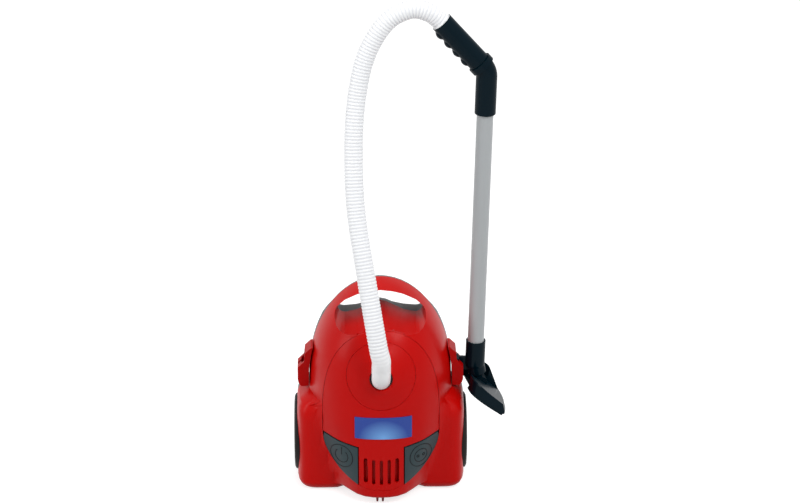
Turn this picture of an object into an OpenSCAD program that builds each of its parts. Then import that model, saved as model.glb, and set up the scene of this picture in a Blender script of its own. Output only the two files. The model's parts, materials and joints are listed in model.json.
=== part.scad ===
// Toy canister vacuum cleaner, parked upright on its tail with its wand hung on the right side clip.
// Millimetres. X runs to the right, Y to the back, Z up, and the origin is on the standing face.

/* [Canister] */
// Height of the canister, standing on its tail
body_h = 261; // [256:1:266]
// Half width of the egg-shaped hull
hull_half_w = 87; // [85:1:90]
// Height at which the hull is widest
hull_mid_z = 134; // [131:1:137]
// How far the nose reaches ahead of the origin
nose_reach = 85; // [83:1:89]
// Half width of the nose at its foot
nose_half_w = 56; // [54:1:58]
// Height of the nose's underside above the floor
nose_base_z = 10.5; // [10:0.5:12]
// How far the wheel pods stand out of the hull
pod_out = 15.5; // [14:0.5:18]
// How far the pods reach ahead of the origin
pod_reach = 45; // [43:1:47]
// Height of the pods' shoulders
pod_top_z = 128; // [125:1:131]
// Place of the joint face between the two shells
rim_y = 20; // [19:0.5:22]
// Depth of the back shell behind the joint face
back_depth = 20; // [19:0.5:22]
// Wall of the shells and of the front panel
wall = 2.6; // [2.2:0.2:3]

/* [Handle] */
// Thickness of the handle's bar at its back
bar_t = 11.5; // [10:0.5:13]
// Thickness of the handle's bar at its bevelled front edge
bar_front_t = 4; // [3:0.5:6]
// Distance from the crown down to the finger slot's lower edge in the middle
slot_down = 31.5; // [30:0.5:33]
// Half width of the finger slot, between its round ends
slot_half_w = 43; // [40:1:46]
// How far the slot's lower edge dips at both sides of its back
slot_dip = 16; // [13:1:17]
// How far it dips at both sides of its scooped front
slot_front_dip = 10.5; // [8:0.5:13]

/* [Front panel] */
// Distance of the egg-shaped panel's edge from the hull's widest line
panel_in = 16; // [15:1:18]
// Height of the panel's top
panel_top_z = 226.5; // [224:0.5:228]
// Lowest point of the curved seam below the panel
seam_low_z = 22; // [20:0.5:24]
// Height of the seam's two ends
seam_end_z = 86; // [84:1:88]
// Gap around the panel
panel_gap = 0.4; // [0.3:0.1:0.6]
// Width of a vent slot
vent_w = 3.9; // [3:0.1:4.5]
// Length of a vent slot
vent_l = 34; // [30:1:36]
// Distance between vent slots
vent_pitch = 9.4; // [8.5:0.1:10]
// Number of vent slots
vent_count = 5; // [3:2:5]
// Width of the bare label
label_w = 69; // [60:1:74]
// Height of the bare label
label_h = 29; // [24:1:32]

/* [Hose port] */
// Height of the port's centre
port_z = 174; // [171:1:177]
// Radius of the port hole
port_r = 13.8; // [13.2:0.2:14.6]
// Radius of the collar around the port
collar_r = 18.3; // [17.5:0.1:19.5]
// Radius of the domed cover
dome_r = 41.5; // [40:0.5:43]
// How far the dome stands above the panel at its collar
dome_rise = 3.5; // [2:0.5:5]
// Upward slant of the cuff where it leaves the port
cuff_slant = 33; // [30:1:35]
// Upward bend of the cuff outside the port
cuff_bend = 37; // [33:1:41]

/* [Buttons] */
// Distance of the buttons' inner edges from the middle
button_in_x = 28.5; // [27:0.5:30]
// Height of the buttons' inner top corners
button_in_z = 79.5; // [77:0.5:82]
// How far a button stands proud of the panel
button_proud = 0.8; // [0.4:0.1:1.5]
// Thickness of a button's face
button_t = 4; // [3:0.5:5]
// Travel of a button
button_travel = 3; // [2:0.5:4]
// Gap between a button and the panel
button_gap = 1.3; // [1:0.1:1.8]

/* [Wheels] */
// Radius of a rear wheel
wheel_r = 47.5; // [46:0.5:49]
// Width of a rear wheel
wheel_w = 12; // [11:1:14]
// Place of the axle from front to back
wheel_y = 14; // [12:0.5:14]
// Height of the axle
wheel_z = 53; // [52:0.5:55]
// How far a tyre stands out of its pod
wheel_out = 3.5; // [3:0.5:5]
// Radius of the axle
axle_r = 2.5; // [2:0.25:3]
// Radius of the castor wheel
castor_r = 11; // [9:0.5:12]
// Height of the castor's swivel
castor_z = 188; // [186:1:189]
// Trail of the castor wheel behind its swivel
castor_trail = 8; // [6:0.5:9]

/* [Power] */
// Radius of a battery cell
cell_r = 7.2; // [6.8:0.1:7.3]
// Length of a battery cell
cell_l = 50.5; // [44:0.5:51]
// Number of battery cells
cell_count = 4; // [2:1:4]
// Radius of the motor
motor_r = 12; // [10:0.5:13]
// Length of the motor
motor_l = 30; // [26:1:32]
// Height of the motor
motor_z = 112; // [110:1:113]
// Radius of the fan
fan_r = 26; // [22:1:27]

/* [Clips] */
// Height of the clips' back plates
clip_top_z = 177.5; // [175:0.5:180]
// Height of the pockets' rims
clip_rim_z = 151; // [149:1:154]
// Height of the clips' lower ends
clip_low_z = 126; // [125:0.5:128]
// How far the clips' outer faces stand out of the hull
clip_out = 14; // [13.5:0.5:15]
// Width of a clip from front to back
clip_w = 25; // [23:1:28]
// Thickness of the hook's flange
hook_t = 3.4; // [3:0.2:3.8]
// Width of the hook's flange
hook_w = 15; // [12:1:16]

/* [Wand] */
// Radius of the grey tube
tube_r = 10; // [9:0.25:10.5]
// Length of the tube between neck and elbow
tube_l = 299; // [280:1:320]
// Lean of the wand to the right
wand_lean = 1.5; // [0.5:0.5:2]
// Distance of the wand from the clip's outer face
wand_off = 15.5; // [15:0.5:17]
// Place of the wand from front to back
wand_y = 5; // [3:1:7]
// Height of the neck's rim
neck_z = 181; // [179:1:183]
// Radius of the neck
neck_r = 12; // [11.5:0.25:12.5]
// Radius of the elbow
elbow_r = 12.6; // [12:0.2:13.5]
// Straight length of the elbow
elbow_l = 46; // [40:1:50]
// Angle between the elbow and the grip
grip_bend = 43; // [38:1:48]
// Length of the grip
grip_l = 73; // [70:1:78]
// Radius of the grip
grip_r = 13; // [12.8:0.2:14]
// Number of finger bumps
bump_count = 4; // [3:1:5]

/* [Nozzle] */
// Width of the nozzle head
head_w = 96; // [80:1:110]
// Length of the nozzle head ahead of its pivot, in the middle
head_front = 45; // [42:1:48]
// How far the head's front edge falls back at both ends
head_bow = 12; // [8:1:14]
// Length of the nozzle head behind its pivot
head_rear = 24; // [22:1:26]
// Height of the pivot above the sole
pivot_h = 12.5; // [12:0.5:14]
// Turn of the head about the neck
head_yaw = 12; // [0:1:15]
// Slope of the sole
head_pitch = 38; // [34:1:40]
// Radius of the pivot ball
ball_r = 8.5; // [8:0.25:9]

/* [Hose] */
// Radius of the hose over its ribs
hose_r = 11.3; // [10.8:0.1:11.4]
// Depth of the grooves between the ribs
rib_depth = 1.1; // [0.8:0.1:1.3]
// Distance between ribs
rib_pitch = 4; // [3.8:0.1:5]
// Radius of the hose's bore
hose_bore_r = 8.8; // [8:0.1:9]

/* [Clearances] */
// Play of a turning fit
run_play = 0.05; // [0.03:0.01:0.08]
// Gap between pieces that move past each other
move_gap = 0.5; // [0.4:0.1:0.8]
// Gap between a piece and its seat
seat_gap = 0.15; // [0.1:0.05:0.25]

/* [Hidden] */
$fn = 48;
red = "#be1a16";
slate = "#2c3a40";
grey = "#5a5c5e";
white = "#f2f2f4";

// Shape of the hull and of the pods
lean_z = 60;
lean_power = 4.5;
hull_taper = 1.5;
nose_edge_r = 5;
pod_edge_r = 12;
pod_in_x = 40;
pod_core_x = 60;
pod_shoulder_z = pod_top_z - 33;
pod_corner = 5;
pod_half_w = hull_half_w + pod_out;
tail_reach = 15;
blend_power = 6;
half_columns = 16;
mid_rows = 20;
cavity_top_z = 200;
slot_mid_z = body_h - slot_down;
slot_front_y = 10 - nose_reach;
well_play = 1.2;
recess_play = 1.5;
back_y = rim_y + back_depth;
floor_y = back_y - wall;

// Places that several pieces share
panel_half_w = hull_half_w - panel_in;
panel_mid_z = 115;
label_x = 2.5;
label_z = 108;
button_x = (button_in_x + panel_half_w) / 2 - 1.75;
button_z = 62;
plug_x = -1.5;
plug_y = 13 - nose_reach;
plug_half_x = 8;
plug_half_y = 3.5;
pin_pitch = 6.7;
wheel_in_x = pod_half_w + wheel_out - wheel_w;
castor_floor_y = rim_y + 7;
castor_pocket_r = 24;
castor_stem_r = 3;
socket_r = 7;
socket_depth = 15;
castor_y = wheel_y + wheel_r - castor_r;
box_wall = 1.6;
cell_pitch = 2 * cell_r + 0.4;
box_half_x = cell_count * cell_pitch / 2 + box_wall + 0.8;
box_z = 22;
contact_t = 2;
box_h = cell_l + 2 * contact_t + 2 * box_wall + 0.3;
box_y = floor_y - 2 * cell_r - box_wall - 4;
screw_r = 1.5;
screw_head_r = 3.2;
screw_top_z = body_h - 57;
screw_places = [[pod_half_w - 11.5, 110], [pod_half_w - 26.5, 12],
    [hull_half(screw_top_z) - 14.5, screw_top_z]];
chamber_r = 22;
chamber_z = port_z - 8;
cuff_arc_r = 30;
cuff_out = 6;
cuff_in = 34;
cuff_sleeve = 8.5;
cuff_step = 0.1;
spigot_l = 4;
ring_lap = 1.5;
post_x = 22;
post_z = 73;
post_r = 3;
bridge_t = 3;
bridge_lap = 8;

function sup(t, n, m) = pow(max(0, 1 - pow(min(1, abs(t)), n)), 1 / m);
function part_of(z, low, high) = max(0, (z - low) / (high - low));
function edge_drop(h, r) = h >= r ? 0 : r - sqrt(max(0, r * r - (r - h) * (r - h)));
function lerp(a, b, f) = a + (b - a) * f;
function between(a, b, n) = [for (i = [0:n - 1]) lerp(a, b, i / n)];

// Half width and depth of the hull at a height, t inside its outer face
function hull_half(z, t = 0) = z >= hull_mid_z
    ? max(0.01, (hull_half_w - t) * sup(part_of(z, hull_mid_z, body_h - t), 2, 2))
    : hull_half_w - t - (hull_half_w - nose_half_w)
        * pow(min(1, (hull_mid_z - z) / (hull_mid_z - nose_base_z)), hull_taper);
function hull_depth(z, t = 0) = (nose_reach + rim_y - t)
    * sup(part_of(z, lean_z, body_h - t), lean_power, 2);
function hull_f(x, z, t = 0) = z < nose_base_z + t ? 0
    : max(0, hull_depth(z, t) * sup(x / hull_half(z, t), 2.5, 2.2)
        - edge_drop(z - nose_base_z - t, nose_edge_r));

// Half width and depth of the pods at a height
function pod_fade(z, t = 0) = sup(part_of(z, pod_shoulder_z, pod_top_z - t), 3, 3);
function pod_half(z, t = 0) = pod_core_x + (pod_half_w - t - pod_core_x) * pod_fade(z, t)
    - edge_drop(z - t, pod_edge_r);
function pod_f(x, z, t = 0) = let (w = (pod_half(z, t) - pod_in_x) / 2)
    max(0, (pod_reach + rim_y - t) * pod_fade(z, t) * sup((abs(x) - pod_in_x - w) / w, pod_corner, pod_corner)
        - edge_drop(z - t, pod_edge_r));
function tail_f(x, z, t = 0) = z < lean_z && abs(x) < pod_in_x + 12 ? tail_reach + rim_y - t : 0;

// Depth of the front face ahead of the joint face
function front_f(x, z, t = 0) = max(tail_f(x, z, t),
    pow(pow(hull_f(x, z, t), blend_power) + pow(pod_f(x, z, t), blend_power), 1 / blend_power));
function front_y(x, z) = rim_y - front_f(x, z);
function outline_half(z, t = 0) = max(z < nose_base_z + t ? 0 : hull_half(z, t),
    z < pod_top_z - t ? pod_half(z, t) : 0);

// Heights of the sections, close together at the rounded edges and the crown
function section_rows(t) = concat(
    [for (a = [0:15:75]) let (z = t + pod_edge_r * (1 - cos(a))) if (z < nose_base_z + t - 0.5) z],
    [nose_base_z + t - 0.02],
    [for (a = [0:22.5:90]) nose_base_z + t + nose_edge_r * (1 - cos(a))],
    [for (k = [1:mid_rows]) lerp(nose_base_z + t + nose_edge_r, crown_z(30, t), k / mid_rows)],
    [for (a = [36:6:84]) crown_z(a, t)],
    [crown_z(88.5, t)]);
function crown_z(a, t) = hull_mid_z + (body_h - t - hull_mid_z) * sin(a);
function section(z, t) = [for (j = [half_columns:-1:-half_columns])
    let (x = outline_half(z, t) * sin(90 * j / half_columns)) [x, rim_y - front_f(x, z, t), z]];

// A closed skin over rings with equal numbers of points, capped at both ends or joined in a loop
module loft(rings, loop = false) {
    n = len(rings[0]);
    m = len(rings);
    last = loop ? m - 1 : m - 2;
    sides = [for (i = [0:last]) for (j = [0:n - 1])
        let (a = i * n + j, b = i * n + (j + 1) % n, c = (i + 1) % m * n + j, d = (i + 1) % m * n + (j + 1) % n)
        each [[a, b, c], [b, d, c]]];
    caps = loop ? [] : [[for (j = [n - 1:-1:0]) j], [for (j = [0:n - 1]) (m - 1) * n + j]];
    polyhedron(points = [for (r = rings) each r], faces = concat(sides, caps), convexity = 8);
}

// A plate that follows the front face, from rings of [x, z] points that run outwards
module face_plate(rings, lift, depth, loop = false) {
    front = [for (r = rings) [for (p = r) [p.x, front_y(p.x, p.y) - lift, p.y]]];
    back = [for (r = rings) [for (p = r) [p.x, front_y(p.x, p.y) - lift + depth, p.y]]];
    loft(concat(front, [for (i = [len(back) - 1:-1:0]) back[i]]), loop);
}

module along_y(place, r, from, to, sides = 48) {
    translate([place.x, from, place.y]) rotate([-90, 0, 0]) cylinder(r = r, h = to - from, $fn = sides);
}

module along_x(place, r, from, to, sides = 48) {
    translate([from, place.x, place.y]) rotate([0, 90, 0]) cylinder(r = r, h = to - from, $fn = sides);
}

module both_sides() {
    children();
    mirror([1, 0, 0]) children();
}

// Outline of the opening in the front shell, grown by g
function seam_point(a, g) = [(panel_half_w + g) * cos(a), seam_end_z + (seam_end_z - seam_low_z + g) * sin(a)];
function seam_z(x, g) = seam_end_z - (seam_end_z - seam_low_z + g) * sup(x / (panel_half_w + g), 2, 2);
function egg_top(g) = [for (a = [0:9:180]) [
    (panel_half_w + g) * sign(cos(a)) * pow(abs(cos(a)), 0.87),
    panel_mid_z + (panel_top_z - panel_mid_z + g) * pow(sin(a), 0.87)]];
function egg(g) = concat(egg_top(g), [for (a = [180:7.5:360]) seam_point(a, g)]);

// Outline of the panel, with a corner left out at both sides for the buttons
function panel_outline() = let (
        in_x = button_in_x - button_gap,
        in_z = button_in_z + button_gap,
        tip = [panel_half_w - panel_gap, seam_end_z + button_gap],
        in_low = seam_z(in_x, -panel_gap))
    concat(
        egg_top(-panel_gap),
        between([-tip.x, tip.y], [-in_x, in_z], 7),
        between([-in_x, in_z], [-in_x, in_low], 6),
        [for (k = [0:10]) let (x = lerp(-in_x, in_x, k / 10)) [x, seam_z(x, -panel_gap)]],
        between([in_x, lerp(in_low, in_z, 1 / 6)], [in_x, in_z], 5),
        between([in_x, in_z], tip, 7),
        [tip]);

function on_circle(p, r) = let (v = p - [0, port_z]) [0, port_z] + v * r / norm(v);

module front_skin(t) {
    loft([for (z = section_rows(t)) section(z, t)]);
}

module shell_cavity() {
    rows = concat([nose_base_z + wall], [for (k = [1:16]) lerp(nose_base_z + wall + 4, cavity_top_z, k / 16)]);
    loft([for (z = rows) let (w = hull_half(z, wall)) concat(
        [[w, rim_y + 1, z]],
        [for (j = [half_columns:-1:-half_columns]) let (x = w * sin(90 * j / half_columns))
            [x, rim_y - front_f(x, z, wall), z]],
        [[-w, rim_y + 1, z]])]);
}

// Finger slot: a row of discs joined two by two, wider at the scooped front
function slot_low(x, dip) = slot_mid_z - dip * pow(sin(90 * x / slot_half_w), 2);
function slot_up(x, t) = hull_mid_z + (body_h - t - hull_mid_z) * sup(x / (hull_half_w - 0.8 * t), 2, 2);

module slot_disc(x, y, t, dip) {
    low = slot_low(x, dip);
    r = (slot_up(x, t) - low) / 2;
    translate([x, y, low + r]) rotate([90, 0, 0]) cylinder(r = r, h = 0.1, $fn = 20);
}

module finger_slot(front, front_t, front_dip, back) {
    steps = 8;
    for (k = [0:steps - 1]) hull() {
        for (x = [for (i = [k, k + 1]) lerp(-slot_half_w, slot_half_w, i / steps)]) {
            slot_disc(x, front, front_t, front_dip);
            slot_disc(x, back, bar_t, slot_dip);
        }
    }
}

module wheel_wells() {
    both_sides()
        along_x([wheel_y, wheel_z], wheel_r + well_play, wheel_in_x - well_play, pod_half_w + wheel_w, 64);
}

// Thickness of the bar at the scooped front, past the bevelled edge of the real bar
bevel_y = 12;
scoop_t = bar_t - (bar_t - bar_front_t) * (rim_y - slot_front_y) / (bevel_y + rim_y);

module front_shell() {
    color(red) difference() {
        front_skin(0);
        shell_cavity();
        difference() {
            rotate([90, 0, 0]) linear_extrude(nose_reach + rim_y) polygon(egg(0));
            front_skin(wall + recess_play);
        }
        finger_slot(slot_front_y, scoop_t, slot_front_dip, rim_y + 1);
        wheel_wells();
        along_x([wheel_y, wheel_z], axle_r + seat_gap, -wheel_in_x, wheel_in_x);
        translate([plug_x, plug_y, nose_base_z])
            cube(2 * [plug_half_x + seat_gap, plug_half_y + seat_gap, wall + 1], center = true);
        for (p = screw_places) both_sides() along_y(p, screw_r + seat_gap, rim_y - 12, rim_y + 1, 16);
    }
}

// Outline of both shells at the joint face, inset by t
function rim_outline(t) = let (rows = section_rows(0)) concat(
    [for (z = rows) rim_point(z, t, 1)],
    [for (i = [len(rows) - 1:-1:0]) rim_point(rows[i], t, -1)]);
function rim_point(z, t, side) = [
    side * (outline_half(z) - t * outline_half(z) / (outline_half(z) + t)),
    lerp(t, body_h - t, z / body_h)];

module back_skin(from, to, t) {
    loft([for (p = [[from, t], [to - 7, t + 0.6], [to - 2.5, t + 3.5], [to, t + 9]])
        [for (q = rim_outline(p[1])) [q.x, p[0], q.y]]]);
}

back_rows = [for (k = [0:14]) lerp(nose_base_z + wall, cavity_top_z, k / 14)];

module back_shell() {
    color(grey) difference() {
        back_skin(rim_y, back_y, 0);
        translate([0, floor_y, 0]) rotate([90, 0, 0]) linear_extrude(back_depth)
            polygon(concat([for (z = back_rows) [hull_half(z, 2 * wall), z]],
                [for (i = [len(back_rows) - 1:-1:0]) [-hull_half(back_rows[i], 2 * wall), back_rows[i]]]));
        finger_slot(rim_y - 1, bar_t, slot_dip, back_y + 1);
        wheel_wells();
        along_y([0, castor_z], castor_pocket_r, castor_floor_y, back_y + 1);
        along_y([0, castor_z], socket_r + seat_gap, rim_y - 1, back_y);
        translate([-door_half_x - seat_gap, floor_y - 1, door_z - seat_gap])
            cube([2 * (door_half_x + seat_gap), wall + 2, door_h + 2 * seat_gap]);
        for (p = screw_places) both_sides() {
            along_y(p, screw_r + seat_gap, rim_y - 1, back_y, 16);
            along_y(p, screw_head_r + seat_gap, back_y - 5, back_y + 1, 24);
        }
    }
    color(grey) difference() {
        along_y([0, castor_z], castor_pocket_r + wall, castor_floor_y - wall, floor_y + 0.5);
        along_y([0, castor_z], castor_pocket_r, castor_floor_y, back_y);
        along_y([0, castor_z], socket_r + seat_gap, rim_y - 1, back_y);
    }
}

module vent_slot(k, w, from, to) {
    x = (k - (vent_count - 1) / 2) * vent_pitch;
    low = seam_z(x, 0) + 8 + w / 2;
    hull() for (z = [low, low + vent_l - w]) along_y([x, z], w / 2, from, to, 20);
}

module front_panel() {
    outer = panel_outline();
    steps = 7;
    color(red) difference() {
        face_plate([for (k = [0:steps]) [for (p = outer) lerp(on_circle(p, dome_r + panel_gap), p, k / steps)]],
            0, wall, true);
        for (k = [0:vent_count - 1]) {
            vent_slot(k, vent_w, -nose_reach - 5, -nose_reach + 12);
            vent_slot(k, vent_w + 1.2, -nose_reach + wall / 2, -nose_reach + 12);
        }
    }
}

// Height of the dome above the panel at a distance from the port's middle
function dome_lift(r) = r > collar_r + 1 ? dome_rise * pow(1 - pow((r - collar_r) / (dome_r - collar_r), 2), 2)
    : r > port_r + 0.5 ? dome_rise + 1.2 : dome_rise + 0.2;

module port_dome() {
    radii = concat([port_r, port_r + 0.8, collar_r - 0.4, collar_r + 1.2], [for (k = [1:5])
        lerp(collar_r + 1.2, dome_r, k / 5)]);
    ring = function (r, d) [for (a = [0:10:350]) let (x = r * cos(a), z = port_z + r * sin(a))
        [x, front_y(x, z) - dome_lift(r) + d, z]];
    color(red) loft(concat([for (r = radii) ring(r, 0)],
        [for (i = [len(radii) - 1:-1:0]) ring(radii[i], wall)]), true);
}

module label_plate() {
    lift = 0.9;
    thick = 0.6;
    steps = 14;
    rows = [label_z - label_h / 2, label_z, label_z + label_h / 2];
    color("#3a62a8") loft([for (k = [0:steps]) let (x = label_x + label_w * (k / steps - 0.5)) concat(
        [for (z = rows) [x, front_y(x, z) - lift, z]],
        [for (i = [2:-1:0]) [x, front_y(x, rows[i]) - lift + thick, rows[i]]])]);
}

function button_outline() = let (
        tip = [panel_half_w - 2, seam_end_z - 0.6],
        corner = [button_in_x, button_in_z],
        low = [button_in_x, seam_z(button_in_x, -move_gap)])
    concat(between(tip, corner, 8), between(corner, low, 7),
        [for (a = [acos(button_in_x / (panel_half_w - move_gap)):-6:5]) seam_point(-a, -move_gap)]);

module button_cap() {
    middle = [button_x, button_z];
    face_plate([for (f = [0.03, 0.3, 0.6, 0.85, 1]) [for (p = button_outline()) lerp(middle, p, f)]],
        button_proud, button_t);
}

// Stem of a button: a flange behind the cap that the spring pushes on, and a pin that meets the switch
stem_r = 3;
flange_r = 6.5;
switch_l = 6;
stem_y = front_y(button_x + stem_r, button_z) - button_proud + button_t / 2;
flange_y = front_y(button_x + flange_r, button_z) - button_proud + button_t;
spring_y = flange_y + 2;
bridge_y = spring_y + 17;

module button() {
    color(slate) {
        button_cap();
        along_y([button_x, button_z], stem_r, stem_y, bridge_y - switch_l - button_travel - move_gap);
        along_y([button_x, button_z], flange_r, flange_y - 1, spring_y);
    }
}

module power_button() {
    mirror([1, 0, 0]) button();
}

module rewind_button() {
    button();
}

module button_spring(side) {
    turns = 5;
    steps = 8 * turns;
    wire = 0.6;
    coil = 5;
    from = spring_y + wire + seat_gap;
    span = bridge_y - wire - seat_gap - from;
    color("silver") loft([for (k = [0:steps]) let (a = 360 * turns * k / steps, y = from + span * k / steps)
        [for (b = [300:-60:0]) let (r = coil + wire * cos(b))
            [side * button_x + r * cos(a), y + wire * sin(b), button_z + r * sin(a)]]]);
}

module power_spring() {
    button_spring(-1);
}

module rewind_spring() {
    button_spring(1);
}

module button_bridge() {
    color(grey) {
        translate([-button_x - bridge_lap, bridge_y, button_z - bridge_lap])
            cube([2 * (button_x + bridge_lap), bridge_t, post_z + post_r + bridge_lap - button_z]);
        for (x = [-post_x, post_x])
            along_y([x, post_z], post_r, front_y(x, post_z) + wall + 0.6, bridge_y + 1);
    }
}

module power_switch() {
    color("black") translate([-button_x, bridge_y - switch_l / 2, button_z])
        cube([5, switch_l, 5], center = true);
}

module parked_plug() {
    color("#6e0c10") {
        translate([plug_x - plug_half_x, plug_y - plug_half_y, nose_base_z + 0.4])
            cube([2 * plug_half_x, 2 * plug_half_y, 11]);
        for (s = [-1, 1]) translate([plug_x + s * pin_pitch / 2, plug_y, 0.8])
            cylinder(r1 = 1.2, r2 = 2.1, h = nose_base_z);
    }
}

// Side clip: a plate and a pocket, open at the top, that a flange slides down into
clip_out_x = hull_half_w + clip_out;
clip_front_t = 4.6;
clip_gap = 0.4;
pocket_in_x = clip_out_x - clip_front_t - hook_t - 2 * move_gap;
pocket_z = clip_low_z + 5;
web_t = 4;

module clip() {
    pocket = [hook_t + 2 * move_gap, hook_w + 2 * move_gap + 1, clip_top_z];
    slot = [clip_front_t * 2 + hook_t, web_t + 2, clip_top_z];
    seat = [for (k = [0:24]) let (z = lerp(clip_low_z, clip_top_z, k / 24))
        [outline_half(z) + clip_gap + max(0, clip_low_z + 5 - z) / 4, z]];
    outer = [[outline_half(clip_top_z) + 3, clip_top_z], [hull_half_w + 5, clip_top_z - 7],
        [hull_half_w + 6.2, clip_rim_z + 8], [clip_out_x, clip_rim_z], [clip_out_x, clip_low_z + 9],
        [clip_out_x - 1.2, clip_low_z + 4], [clip_out_x - 4.5, clip_low_z]];
    color(red) difference() {
        translate([0, wand_y + clip_w / 2, 0]) rotate([90, 0, 0])
            linear_extrude(clip_w) polygon(concat(seat, outer));
        translate([pocket_in_x, wand_y - pocket.y / 2, pocket_z]) cube(pocket);
        translate([pocket_in_x, wand_y - slot.y / 2, pocket_z]) cube(slot);
    }
}

module right_clip() {
    clip();
}

module left_clip() {
    mirror([1, 0, 0]) clip();
}

module axle() {
    end = pod_half_w + wheel_out - 4;
    color("silver") {
        along_x([wheel_y, wheel_z], axle_r, -end, end);
        both_sides() along_x([wheel_y, wheel_z], 4.5, end - 2, end - 0.8);
    }
}

module tyre() {
    w = wheel_w;
    color("#0e0c0b") translate([wheel_in_x, wheel_y, wheel_z]) rotate([0, 90, 0]) rotate_extrude($fn = 96) polygon([
        [wheel_r - 9, 0], [wheel_r - 3, 0], [wheel_r - 0.8, 1.2], [wheel_r, 3.5], [wheel_r, w - 4.5],
        [wheel_r - 1.2, w - 1.8], [wheel_r - 4, w - 0.4], [wheel_r - 9, w]]);
}

module hub() {
    rim = wheel_r - 9;
    color("#8f8886") translate([wheel_in_x, wheel_y, wheel_z]) rotate([0, 90, 0]) difference() {
        rotate_extrude() polygon([[axle_r + run_play, 0], [rim, 0], [rim, wheel_w - 1], [rim - 4, wheel_w - 1],
            [rim - 7, wheel_w - 6], [14, wheel_w - 5], [12, wheel_w - 2.5], [8, wheel_w - 2.5],
            [8, wheel_w - 7], [axle_r + run_play, wheel_w - 7]]);
        for (k = [0:5]) rotate(60 * k + 30) translate([rim - 13, 0, wheel_w - 8]) cylinder(r = 5.5, h = 8);
    }
}

module cap() {
    color("#8f8886") translate([wheel_in_x + wheel_w - 2.5, wheel_y, wheel_z]) rotate([0, 90, 0]) rotate_extrude()
        polygon([[0, 0], [11, 0], [10.5, 1.2], [8, 2.2], [4, 2.5], [0, 2.5]]);
}

module left_tyre() {
    mirror([1, 0, 0]) tyre();
}

module right_tyre() {
    tyre();
}

module left_hub() {
    mirror([1, 0, 0]) hub();
}

module right_hub() {
    hub();
}

module left_cap() {
    mirror([1, 0, 0]) cap();
}

module right_cap() {
    cap();
}

module castor_socket() {
    color(grey) difference() {
        union() {
            along_y([0, castor_z], socket_r, castor_floor_y - socket_depth, castor_floor_y);
            along_y([0, castor_z], socket_r + 3, castor_floor_y - wall - 2.5, castor_floor_y - wall);
        }
        along_y([0, castor_z], castor_stem_r + run_play, castor_floor_y - socket_depth + 2, castor_floor_y + 1);
    }
}

castor_wheel_w = 9;
castor_wheel_z = castor_z - castor_trail;

module castor_fork() {
    plate = castor_floor_y + 0.3;
    color(grey) difference() {
        union() {
            along_y([0, castor_z], castor_stem_r, plate - socket_depth + 3, plate + 1);
            along_y([0, castor_z], 11, plate, plate + 2.4);
            for (s = [-1, 1]) translate([s * (castor_wheel_w / 2 + 1.8) - 1.3, 0, 0]) {
                along_x([castor_y, castor_wheel_z], 4.5, 0, 2.6);
                translate([0, plate, castor_wheel_z - 4.5]) cube([2.6, castor_y - plate, 9]);
            }
        }
        along_x([castor_y, castor_wheel_z], 1.5, -20, 20);
    }
}

module castor_pin() {
    half = castor_wheel_w / 2 + 3.1;
    color("silver") along_x([castor_y, castor_wheel_z], 1.5, -half, half);
}

module castor_wheel() {
    color("#0e0c0b") translate([-castor_wheel_w / 2, castor_y, castor_wheel_z]) rotate([0, 90, 0]) rotate_extrude()
        polygon([[1.5 + run_play, 0], [castor_r - 1.5, 0], [castor_r, 1.5], [castor_r, castor_wheel_w - 1.5],
            [castor_r - 1.5, castor_wheel_w], [1.5 + run_play, castor_wheel_w]]);
}

door_half_x = box_half_x - 2.5;
door_z = box_z + 2.5;
door_h = box_h - 5;

module battery_box() {
    color(grey) difference() {
        translate([-box_half_x, box_y, box_z]) cube([2 * box_half_x, floor_y - box_y, box_h]);
        translate([-box_half_x + box_wall, box_y + box_wall, box_z + box_wall])
            cube([2 * (box_half_x - box_wall), floor_y, box_h - 2 * box_wall]);
    }
}

module battery_cells() {
    color("#3c7a4a") for (k = [0:cell_count - 1])
        translate([(k - (cell_count - 1) / 2) * cell_pitch, box_y + box_wall + cell_r + seat_gap,
            box_z + box_wall + contact_t + 0.15]) {
            cylinder(r = cell_r, h = cell_l - 1.5);
            cylinder(r = 2.6, h = cell_l);
        }
}

module battery_contacts() {
    color("silver") for (z = [box_z + box_wall, box_z + box_h - box_wall - contact_t])
        translate([-box_half_x + box_wall + 0.5, box_y + box_wall, z])
            cube([2 * (box_half_x - box_wall - 0.5), 2 * cell_r, contact_t]);
}

module battery_door() {
    color(grey) difference() {
        translate([-door_half_x, floor_y, door_z]) cube([2 * door_half_x, wall, door_h]);
        along_y([0, door_z + door_h - 5], screw_r + seat_gap, floor_y - 1, back_y + 1, 24);
        along_y([0, door_z + door_h - 5], screw_head_r + seat_gap, back_y - 1.4, back_y + 1, 24);
    }
}

module screw(place, head_y, shank) {
    along_y(place, screw_r, head_y - shank, head_y + 0.5);
    along_y(place, screw_head_r, head_y, head_y + 1.3);
}

module door_screw() {
    color("silver") screw([0, door_z + door_h - 5], back_y - 1.4, 5);
}

module case_screws() {
    color("silver") for (p = screw_places) both_sides() screw(p, back_y - 5, 26);
}

motor_back_y = rim_y - 2;
motor_front_y = motor_back_y - motor_l;

module motor_cradle() {
    color(grey) difference() {
        along_y([0, motor_z], motor_r + 3, motor_back_y - 12, floor_y);
        along_y([0, motor_z], motor_r + run_play, motor_back_y - 13, motor_back_y);
        along_y([0, motor_z], motor_r - 4, motor_back_y - 1, floor_y - 2);
    }
}

shaft_r = 1.5;

module motor() {
    color("silver") difference() {
        along_y([0, motor_z], motor_r, motor_front_y, motor_back_y);
        along_y([0, motor_z], shaft_r + run_play, motor_front_y - 1, motor_front_y + 14);
    }
}

fan_y = motor_front_y - 17;

module motor_shaft() {
    color("silver") along_y([0, motor_z], shaft_r, fan_y - 1, motor_front_y + 13);
}

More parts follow.
